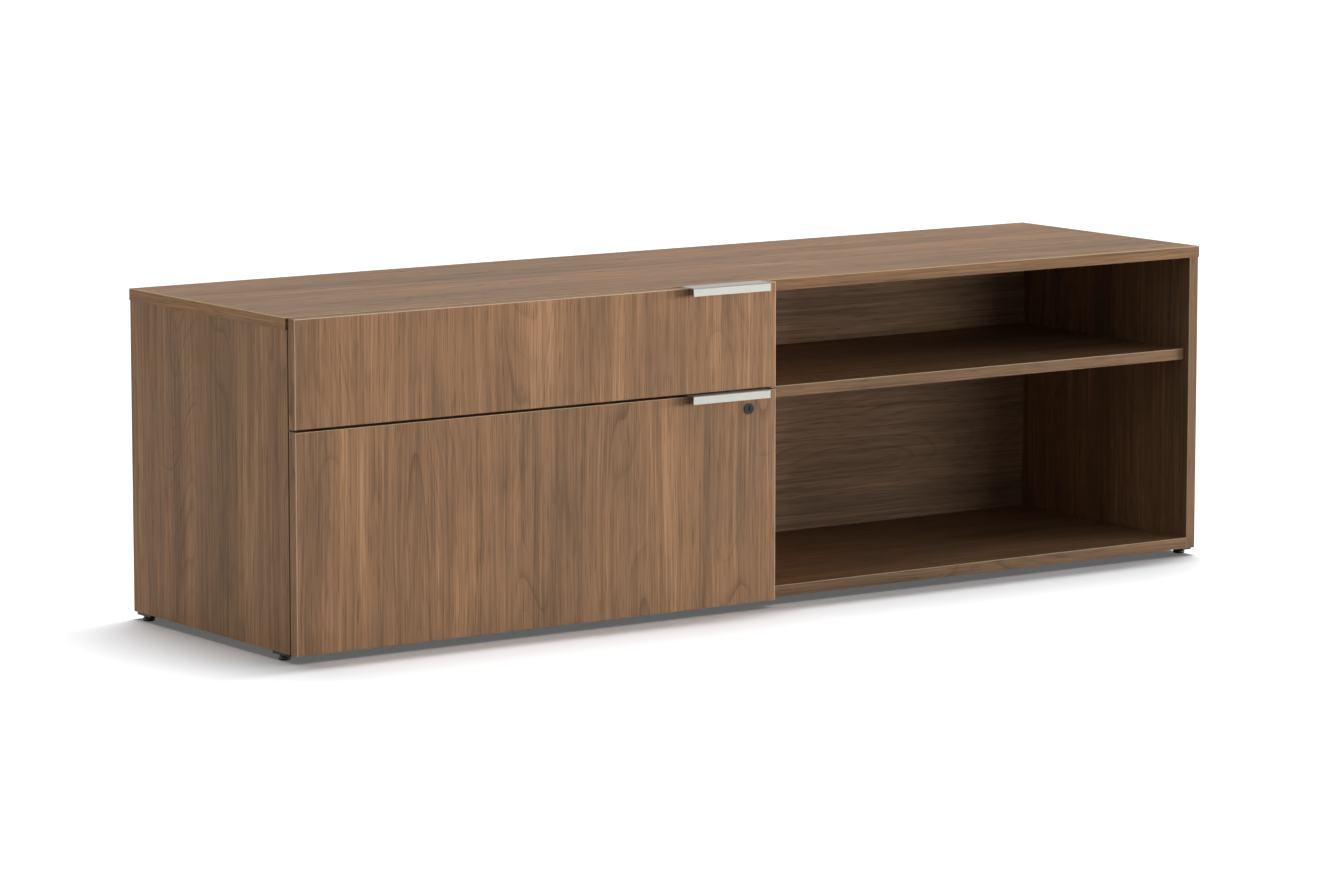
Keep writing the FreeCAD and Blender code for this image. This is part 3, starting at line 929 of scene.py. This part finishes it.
@dataclass
class Case:
    """The fixed case: its laminate boards, shelf with pins, lock rail with strike and hidden fixings."""

    strike_screw: ScrewHead = ScrewHead(0.0031, 0.0003)
    strike_screw_inset: float = 0.0045
    seed_step: float = 11.3
    tone: float = 0.88
    # Painted shade: the right end panel, bottom panel and shelf around the open bay are darker all over
    bay_shade_tone: float = 0.74
    end_band_tone: float = 0.84
    # Painted shade near the floor: the bottom panel's front band is darker
    floor_shade_band_tone: float = 0.76
    # Painted shade colour: the back panels are cast greyer, like deep shade
    shade_grey_cast: Colour = (0.9, 1.0, 1.12)
    brown_cast: Colour = (0.98, 1.0, 0.96)
    warm_cast: Colour = (1.02, 0.99, 0.86)
    # Strength of the painted highlight line on the faces of level boards
    level_face_highlight: float = 0.35

    def boards(self) -> dict[str, tuple[Axis, Axis, float, float, Colour]]:
        """Lists the laminate boards.

        Returns:
            Each board's grain and thickness axes, the tones of its faces and of its bands, and its cast; the
            bay's darker tone, the bottom band's tone and the grey cast are painted shade.
        """
        upright, level, facing = (Axis.Z, Axis.X), (Axis.X, Axis.Z), (Axis.X, Axis.Y)
        return {
            "top_panel": (*level, self.tone, 1.0, self.warm_cast),
            "left_end_panel": (*upright, self.tone, 1.0, self.brown_cast),
            "right_end_panel": (*upright, self.bay_shade_tone, self.end_band_tone, self.brown_cast),
            "center_divider": (*upright, self.tone, 1.0, self.brown_cast),
            "bottom_panel": (*level, self.bay_shade_tone, self.floor_shade_band_tone, self.brown_cast),
            "shelf": (*level, self.bay_shade_tone, 1.0, self.brown_cast),
            "left_back_panel": (*facing, self.tone, 1.0, self.shade_grey_cast),
            "right_back_panel": (*facing, self.tone, 1.0, self.shade_grey_cast),
            "lock_rail": (*facing, self.tone, 1.0, self.brown_cast),
        }

    def build(self) -> None:
        """Dresses the boards and fixings and adds the strike's screws."""
        for number, (node, (grain, thickness, tone, band_tone, cast)) in enumerate(self.boards().items(), 1):
            dress(node, WalnutLaminate(
                "walnut_laminate_" + node, "walnut_laminate", node, grain, thickness, self.seed_step * number,
                tone, band_tone, cast, face_highlight=self.level_face_highlight if thickness is Axis.Z else 0.0,
            ))
        dress("case_tongues", TONGUE)
        dress("shelf_pins", PIN_METAL)
        dress("glide_inserts", INSERT_METAL)
        dress("lock_strike", CAM_METAL)
        low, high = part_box("lock_strike")
        level = high.z - self.strike_screw_inset
        places = [
            (Vector((x, low.y, level)), Vector((0, -1, 0)))
            for x in (low.x + self.strike_screw_inset, high.x - self.strike_screw_inset)
        ]
        add_screws("lock_strike_screws", self.strike_screw, places, CAM_METAL, "case")


@dataclass
class Drawer:
    """A drawer: its laminate front with a folded pull, its box, and the screws that hold them."""

    prefix: str
    front_seed: float
    gap_side: GapSide
    front_screw: ScrewHead = ScrewHead(0.0042, 0.0022)
    pull_screw: ScrewHead = ScrewHead(0.003, 0.0003)
    front_screw_columns: int = 4
    front_screw_margin: float = 0.03
    pull_screw_count: int = 3
    pull_screw_drop: float = 0.0045

    @property
    def body(self) -> str:
        """The body that the drawer is."""
        return self.prefix + "_drawer"

    def build(self) -> None:
        """Dresses the drawer and adds its screws."""
        front = self.body + "_front"
        dress(front, WalnutLaminate(
            "walnut_laminate_" + front, "walnut_laminate", front, Axis.Z, Axis.Y, self.front_seed,
            gap_side=self.gap_side,
        ))
        boards = {Axis.X: ("inner_front", "back", "bottom"), Axis.Y: ("left_side", "right_side")}
        for grain, names in boards.items():
            finish = PlainBoard("maple_board_along_" + grain.name.lower(), "drawer_board", grain)
            for name in names:
                dress(f"{self.body}_{name}", finish)
        dress(self.body + "_bumpers", BUMPER_RUBBER)
        dress(self.body + "_pull", PULL_METAL)
        self.add_front_screws()
        self.add_pull_screws()

    def add_front_screws(self) -> None:
        """Adds the screws that draw the front onto the box from inside."""
        low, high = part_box(self.body + "_inner_front")
        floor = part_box(self.body + "_bottom")[1].z
        rows = (floor + self.front_screw_margin, high.z - self.front_screw_margin)
        places = [
            (Vector((x, high.y, z)), Vector((0, 1, 0)))
            for x in even_places(low.x, high.x, self.front_screw_columns)
            for z in rows
        ]
        add_screws(self.body + "_front_screws", self.front_screw, places, PIN_METAL, self.body)

    def add_pull_screws(self) -> None:
        """Adds the flat screws in the flange of the pull, behind the front."""
        low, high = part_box(self.body + "_pull")
        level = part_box(self.body + "_front")[1].z - self.pull_screw_drop
        places = [
            (Vector((x, high.y, level)), Vector((0, 1, 0)))
            for x in even_places(low.x, high.x, self.pull_screw_count)
        ]
        add_screws(self.body + "_pull_screws", self.pull_screw, places, PULL_METAL, self.body)


@dataclass
class BallCage:
    """The cages of one row of balls, left and right: windowed channels with a full set of round balls."""

    prefix: str
    row: str
    row_from_web: float
    ball_radius: float = 0.0014
    ball_rounds: int = 2
    gauge: float = 0.0005
    lip: float = 0.0004
    window_room: float = 0.0001
    ball_count: int = 14
    end_room: float = 0.006

    @property
    def body(self) -> str:
        """The body that the cages and their balls are."""
        return f"{self.prefix}_{self.row}_cages"

    @property
    def node(self) -> str:
        """The node of the part that the cages stand for."""
        return f"{self.prefix}_{self.row}_ball_cages"

    def flange(self, cage: bmesh.types.BMesh, level: float, balls_y: list[float]) -> None:
        """Adds one level flange with a window round each ball.

        Args:
            cage: The cage that it is added to.
            level: The height of the flange's middle.
            balls_y: Where the balls lie along the slide.
        """
        low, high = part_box(self.node)
        reach = self.ball_radius + self.window_room
        row_x = low.x + self.row_from_web
        columns = [low.x, row_x - reach, row_x + reach, row_x + self.ball_radius + self.lip + self.gauge]
        rows = [low.y] + [ball_y + side * reach for ball_y in balls_y for side in (-1, 1)] + [high.y]
        plate = bmesh.new()
        bmesh.ops.create_grid(plate, x_segments=len(columns) - 1, y_segments=len(rows) - 1, size=1)
        for vert in plate.verts:
            column = round((vert.co.x + 1) / 2 * (len(columns) - 1))
            row = round((vert.co.y + 1) / 2 * (len(rows) - 1))
            vert.co = (columns[column], rows[row], level + self.gauge / 2)
        windows = [
            face for face in plate.faces
            if abs(face.calc_center_median().x - row_x) < reach / 2
            and min(abs(face.calc_center_median().y - ball_y) for ball_y in balls_y) < reach / 2
        ]
        bmesh.ops.delete(plate, geom=windows, context="FACES")
        bmesh.ops.solidify(plate, geom=plate.faces, thickness=self.gauge)
        pour(plate, cage)

    def left_cage(self) -> bmesh.types.BMesh:
        """Builds the left cage: its web, its two flanges and their balls.

        Returns:
            The cage's faces, in place.
        """
        low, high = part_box(self.node)
        middle = middle_of(self.node)
        row_z = (high.z - low.z) / 2 - self.ball_radius
        balls_y = even_places(low.y + self.end_room, high.y - self.end_room, self.ball_count)
        cage = bmesh.new()
        web = Vector((low.x + self.gauge / 2, middle.y, middle.z))
        bmesh.ops.create_cube(cage, size=1, matrix=sized_at(web, self.gauge, high.y - low.y, 2 * row_z))
        for level in (middle.z - row_z, middle.z + row_z):
            self.flange(cage, level, balls_y)
            for ball_y in balls_y:
                place = Matrix.Translation((low.x + self.row_from_web, ball_y, level))
                made = bmesh.ops.create_icosphere(
                    cage, subdivisions=self.ball_rounds, radius=self.ball_radius, matrix=place,
                )
                for face in {face for vert in made["verts"] for face in vert.link_faces}:
                    face.smooth = True
        return cage

    def build(self) -> None:
        """Builds both cages, the right one as the mirror image of the left one."""
        cages = self.left_cage()
        right = bmesh.new()
        pour(cages, right, free=False)
        flip = Matrix.Translation((2 * middle_of(self.node).x, 0, 0)) @ Matrix.Diagonal((-1, 1, 1, 1))
        bmesh.ops.transform(right, matrix=flip, verts=right.verts)
        bmesh.ops.reverse_faces(right, faces=right.faces)
        pour(right, cages)
        piece = add_piece(f"{self.prefix}_{self.row}_caged_balls", cages, CAGE_METAL, self.body)
        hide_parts(self.node)


@dataclass
class BallSlides:
    """The two ball slides of a drawer."""

    prefix: str
    member_screw_count: int = 3
    cabinet_screw: ScrewHead = ScrewHead(0.0034, 0.00015)
    drawer_screw: ScrewHead = ScrewHead(0.0034, 0.0006)
    gauge: float = 0.0011
    outer_row_from_web: float = 0.00499
    inner_row_from_web: float = 0.00491

    def node(self, side: Side, member: Member) -> str:
        """The node of a member."""
        return f"{self.prefix}_{side.value}_{member.value}_member"

    def build(self) -> None:
        """Dresses the members, adds their screws and builds the caged balls."""
        for side in Side:
            for member in Member:
                dress(self.node(side, member), SLIDE_METAL)
        self.add_member_screws(Member.CABINET, self.cabinet_screw, "case")
        self.add_member_screws(Member.DRAWER, self.drawer_screw, self.prefix + "_drawer")
        BallCage(self.prefix, "outer", self.outer_row_from_web).build()
        BallCage(self.prefix, "inner", self.inner_row_from_web).build()

    def add_member_screws(self, member: Member, head: ScrewHead, body: str) -> None:
        """Adds the screws through the webs of one kind of member.

        Args:
            member: Which member they go through.
            head: Their head.
            body: The body that they ride on.
        """
        places = []
        for side in Side:
            low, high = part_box(self.node(side, member))
            at_low = (side is Side.LEFT) == (member is Member.CABINET)
            x = low.x + self.gauge if at_low else high.x - self.gauge
            facing = Vector((1 if at_low else -1, 0, 0))
            level = (low.z + high.z) / 2
            places += [
                (Vector((x, y, level)), facing) for y in even_places(low.y, high.y, self.member_screw_count)
            ]
        add_screws(f"{self.prefix}_{member.value}_member_screws", head, places, PIN_METAL, body)


class Lock:
    """The cam lock in the lower front."""

    def build(self) -> None:
        """Dresses the lock."""
        dress("lock_housing", LOCK_PLATING)
        dress("lock_plug", PLUG_PLATING)
        dress("lock_nut", CAM_METAL)
        dress("lock_cam", CAM_METAL)
        dress("cam_screw", PIN_METAL)


class FolderRails:
    """The rails in the lower drawer that hanging folders ride on."""

    def build(self) -> None:
        """Dresses the rails."""
        dress("folder_rails", RAIL_METAL)


@dataclass
class Glides:
    """The levelling glides: disc, hexagonal neck, and a stem that goes up through a plate into the case."""

    disc_height: float = 0.0062
    disc_rounding: float = 0.0026
    disc_sides: int = 56
    disc_rim_facets: int = 6
    neck_flats: float = 0.0135
    neck_room: float = 0.0004
    neck_sides: int = 6
    rounding: float = 0.0005
    rim_facets: int = 2
    stem_radius: float = 0.0039
    stem_sides: int = 28
    stem_room: float = 0.0006
    plate_length: float = 0.043
    plate_thickness: float = 0.0042
    plate_inset: float = 0.0005
    plate_rounding: float = 0.0004

    def build(self) -> None:
        """Builds the plates, and each glide in the place of its node."""
        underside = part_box("left_end_panel")[0].z
        add_piece("glide_plates", self.plates(underside), GLIDE_PLASTIC, "case")
        for end in End:
            for side in Side:
                node = f"{end.value}_{side.value}_glide"
                name = f"{end.value}_{side.value}_turned_glide"
                piece = add_piece(name, self.shape(node, underside), GLIDE_PLASTIC, node)
                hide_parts(node)

    def plates(self, underside: float) -> bmesh.types.BMesh:
        """Builds the small plates under the end panels that the stems pass through.

        Args:
            underside: The height of the case's underside.

        Returns:
            The plates' faces, in place.
        """
        plates = bmesh.new()
        for end in End:
            for side in Side:
                low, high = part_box(f"{side.value}_end_panel")
                width = high.x - low.x - 2 * self.plate_inset
                middle = middle_of(f"{end.value}_{side.value}_glide")
                middle.z = underside - self.plate_thickness / 2
                plate = bmesh.new()
                size = sized_at(middle, width, self.plate_length, self.plate_thickness)
                bmesh.ops.create_cube(plate, size=1, matrix=size)
                bmesh.ops.bevel(
                    plate, geom=plate.edges[:], offset=self.plate_rounding, segments=self.rim_facets,
                    profile=0.5, affect="EDGES", material=-1,
                )
                hole = self.bar(
                    middle, self.stem_sides, self.stem_radius + self.stem_room, -self.plate_thickness,
                    self.plate_thickness, self.plate_rounding, self.rim_facets,
                )
                cut = cut_away(plate, hole)
                plates.from_mesh(cut)
                bpy.data.meshes.remove(cut)
        return plates

    def shape(self, node: str, underside: float) -> bmesh.types.BMesh:
        """Builds one glide.

        Args:
            node: The node that it stands for.
            underside: The height of the case's underside.

        Returns:
            The glide's faces, in place.
        """
        low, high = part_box(node)
        floor = middle_of(node)
        floor.z = low.z
        disc_radius = (high.x - low.x) / 2
        neck_corner = self.neck_flats / math.sqrt(3)
        neck_top = underside - self.plate_thickness - self.neck_room - low.z
        glide = self.bar(
            floor, self.disc_sides, disc_radius, 0.0, self.disc_height,
            self.disc_rounding, self.disc_rim_facets,
        )
        parts = (
            (self.neck_sides, neck_corner, self.disc_height / 2, neck_top),
            (self.stem_sides, self.stem_radius, self.disc_height, high.z - low.z),
        )
        for part in parts:
            pour(self.bar(floor, *part, self.rounding, self.rim_facets), glide)
        return glide

    @staticmethod
    def bar(
        base: Vector, sides: int, radius: float, start: float, end: float, rounding: float, facets: int,
    ) -> bmesh.types.BMesh:
        """Builds an upright bar with rounded rims.

        Args:
            base: A point on its middle line, which its heights are counted from.
            sides: How many sides it has.
            radius: How far its corners are from its middle line.
            start: How high it starts above that point.
            end: How high it ends above that point.
            rounding: How far the rounding of its rims reaches.
            facets: How many facets round each rim.

        Returns:
            The bar's faces.
        """
        shape = bmesh.new()
        place = Matrix.Translation(base + Vector((0, 0, (start + end) / 2)))
        bmesh.ops.create_cone(
            shape, cap_ends=True, segments=sides, radius1=radius, radius2=radius,
            depth=end - start, matrix=place,
        )
        rims = [edge for edge in shape.edges if abs(edge.verts[0].co.z - edge.verts[1].co.z) < rounding]
        bmesh.ops.bevel(
            shape, geom=rims, offset=rounding, segments=facets, profile=0.5, affect="EDGES", material=-1,
        )
        for face in shape.faces:
            face.smooth = sides >= ROUND_SIDES and abs(face.normal.z) < FACING_FLAT
        return shape


# Studio


class Reach(Enum):
    """What a light falls on, by how the floor is linked to it."""

    OBJECT = "EXCLUDE"
    FLOOR = "INCLUDE"


@dataclass(frozen=True)
class StudioLight:
    """A soft light; its azimuth turns from front to right, in degrees, and level 1 shows white as white."""

    name: str
    azimuth: float
    elevation: float
    level: float
    reach: Reach

    def lamp(self) -> bpy.types.Light:
        """Makes the lamp itself."""
        raise NotImplementedError

    def distance(self) -> float:
        """How far from the object the lamp stands."""
        return 0.0

    def add(self, floor: bpy.types.Object) -> None:
        """Adds the light to the scene.

        Args:
            floor: The floor, which the light leaves out or lights alone.
        """
        holder = bpy.data.objects.new(self.name, self.lamp())
        across, up = math.radians(self.azimuth), math.radians(self.elevation)
        source = Vector((math.sin(across) * math.cos(up), -math.cos(across) * math.cos(up), math.sin(up)))
        holder.location = source * self.distance()
        holder.rotation_euler = source.to_track_quat("Z", "Y").to_euler()
        bpy.context.scene.collection.objects.link(holder)
        receivers = bpy.data.collections.new(self.name + "_receivers")
        receivers.objects.link(floor)
        receivers.collection_objects[0].light_linking.link_state = self.reach.value
        holder.light_linking.receiver_collection = receivers


@dataclass(frozen=True)
class SkyLight(StudioLight):
    """A round soft light so far away that it is even all over the floor."""

    spread: float

    def lamp(self) -> bpy.types.Light:
        """Makes a sun lamp as wide as the light is spread.

        Returns:
            The lamp.
        """
        lamp = bpy.data.lights.new(self.name, "SUN")
        lamp.angle = math.radians(self.spread)
        lamp.energy = self.level * math.pi
        return lamp


@dataclass(frozen=True)
class PanelLight(StudioLight):
    """A long low light panel that faces the object."""

    away: float
    width: float
    height: float

    def distance(self) -> float:
        """How far from the object the panel stands."""
        return self.away

    def lamp(self) -> bpy.types.Light:
        """Makes a rectangular lamp of the panel's size.

        Returns:
            The lamp.
        """
        lamp = bpy.data.lights.new(self.name, "AREA")
        lamp.shape = "RECTANGLE"
        lamp.size, lamp.size_y = self.width, self.height
        lamp.energy = self.level * math.pi ** 2 * self.away ** 2
        return lamp


@dataclass
class Studio:
    """A plain pale floor under soft light from the right front, from above and from the left."""

    floor_half: float = 60.0
    floor_roughness: float = 0.9
    floor_seen: float = 1.0
    floor_bounce: float = 0.26
    floor_glow: float = 0.112
    floor_tint: Colour = (0.97, 0.98, 1.0)
    world_level: float = 0.03
    lights: tuple[StudioLight, ...] = (
        PanelLight("key_light", 66.0, 4.0, 1.42, Reach.OBJECT, 12.0, 7.0, 2.4),
        PanelLight("front_light", 23.0, 3.0, 0.2, Reach.OBJECT, 12.0, 5.0, 1.2),
        SkyLight("side_light", -100.0, 14.0, 0.31, Reach.OBJECT, 60.0),
        SkyLight("rear_light", -165.0, 14.0, 0.4, Reach.OBJECT, 60.0),
        SkyLight("dome_light", 0.0, 90.0, 0.12, Reach.OBJECT, 180.0),
        SkyLight("small_top_light", 180.0, 84.0, 0.28, Reach.OBJECT, 2.0),
        SkyLight("broad_floor_light", 150.0, 69.0, 0.48, Reach.FLOOR, 26.0),
        SkyLight("wide_floor_light", 90.0, 56.0, 0.3, Reach.FLOOR, 60.0),
    )
    row_slopes: tuple[float, ...] = (-0.05, 0.01, 0.07, 0.14, 0.22, 0.31, 0.42, 0.56)
    row_back_slope: float = 0.1
    row_level: float = 0.46
    row_spread: float = 4.5

    def floor_material(self) -> bpy.types.Material:
        """Builds a floor that looks white and keeps shadows, and lights the object like a darker one.

        Returns:
            The floor's material.
        """
        shader = Shader("studio_floor")
        path = shader.add("ShaderNodeLightPath").outputs
        kinds = ("Camera", "Glossy", "Transmission")
        looked_at = shader.fold("MAXIMUM", *(path[f"Is {kind} Ray"] for kind in kinds))
        level = shader.choose(looked_at, self.floor_bounce, self.floor_seen)
        return shader.surface({
            "Base Color": shader.tint(1.0, shader.join(level, level, level), self.floor_tint, "MULTIPLY"),
            "Roughness": self.floor_roughness,
            "Specular IOR Level": 0.0,
            "Emission Color": (1.0, 1.0, 1.0),
            "Emission Strength": shader.times(looked_at, self.floor_glow),
        })

    def build(self) -> None:
        """Adds the floor, the world and the lamps."""
        shape = bmesh.new()
        bmesh.ops.create_grid(shape, x_segments=1, y_segments=1, size=self.floor_half)
        mesh = bpy.data.meshes.new("studio_floor")
        shape.to_mesh(mesh)
        shape.free()
        mesh.materials.append(self.floor_material())
        floor = bpy.data.objects.new("studio_floor", mesh)
        bpy.context.scene.collection.objects.link(floor)
        self.build_world()
        for light in (*self.lights, *self.light_row()):
            light.add(floor)

    def light_row(self) -> list[SkyLight]:
        """Makes the row of small lights that shades the floor sharply in front and softly beside the object.

        Returns:
            The lights.
        """
        level = self.row_level / len(self.row_slopes)
        row = []
        for number, slope in enumerate(self.row_slopes):
            azimuth = math.degrees(math.atan2(slope, -self.row_back_slope))
            elevation = math.degrees(math.atan2(1, math.hypot(slope, self.row_back_slope)))
            name = f"floor_light_{number}"
            row.append(SkyLight(name, azimuth, elevation, level, Reach.FLOOR, self.row_spread))
        return row

    def build_world(self) -> None:
        """Gives the world an even level, and white where it is looked at."""
        world = bpy.data.worlds.new("studio_world")
        bpy.context.scene.world = world
        world.use_nodes = True
        nodes, links = world.node_tree.nodes, world.node_tree.links
        nodes.clear()
        path = nodes.new("ShaderNodeLightPath")
        looked_at = nodes.new("ShaderNodeMath")
        looked_at.operation = "MAXIMUM"
        links.new(path.outputs["Is Camera Ray"], looked_at.inputs[0])
        links.new(path.outputs["Is Glossy Ray"], looked_at.inputs[1])
        level = nodes.new("ShaderNodeMapRange")
        links.new(looked_at.outputs[0], level.inputs["Value"])
        level.inputs["To Min"].default_value = self.world_level
        level.inputs["To Max"].default_value = 1.0
        background = nodes.new("ShaderNodeBackground")
        background.inputs["Color"].default_value = (1.0, 1.0, 1.0, 1.0)
        links.new(level.outputs["Result"], background.inputs["Strength"])
        output = nodes.new("ShaderNodeOutputWorld")
        links.new(background.outputs[0], output.inputs["Surface"])


@dataclass
class PhotoCamera:
    """The camera of the photograph, found from the long straight edges of the case."""

    place: tuple[float, float, float] = (-5.2102, -7.4156, 1.5354)
    yaw: float = 0.6080
    pitch: float = 0.1416
    image_width: float = 1330.0
    focal_pixels: float = 5491.3
    sensor_width: float = 36.0
    farthest: float = 500.0

    def build(self) -> None:
        """Adds the camera and makes it the scene's own."""
        lens = bpy.data.cameras.new("photo_camera")
        lens.sensor_fit = "HORIZONTAL"
        lens.sensor_width = self.sensor_width
        lens.lens = self.focal_pixels / self.image_width * self.sensor_width
        lens.clip_end = self.farthest
        camera = bpy.data.objects.new("photo_camera", lens)
        camera.location = self.place
        ahead = Vector((
            math.sin(self.yaw) * math.cos(self.pitch),
            math.cos(self.yaw) * math.cos(self.pitch),
            -math.sin(self.pitch),
        ))
        camera.rotation_euler = ahead.to_track_quat("-Z", "Y").to_euler()
        bpy.context.scene.collection.objects.link(camera)
        bpy.context.scene.camera = camera


def main() -> None:
    """Dresses the part, adds its small hardware, and sets up floor, light and camera."""
    logging.basicConfig(level=logging.INFO, format="%(message)s")
    Case().build()
    Drawer("box", front_seed=19.3, gap_side=GapSide.BELOW).build()
    Drawer("file", front_seed=47.7, gap_side=GapSide.ABOVE).build()
    BallSlides("box").build()
    BallSlides("file").build()
    Lock().build()
    FolderRails().build()
    Glides().build()
    Studio().build()
    PhotoCamera().build()
    bpy.context.scene.view_settings.view_transform = "Standard"


if __name__ == "__main__":
    main()
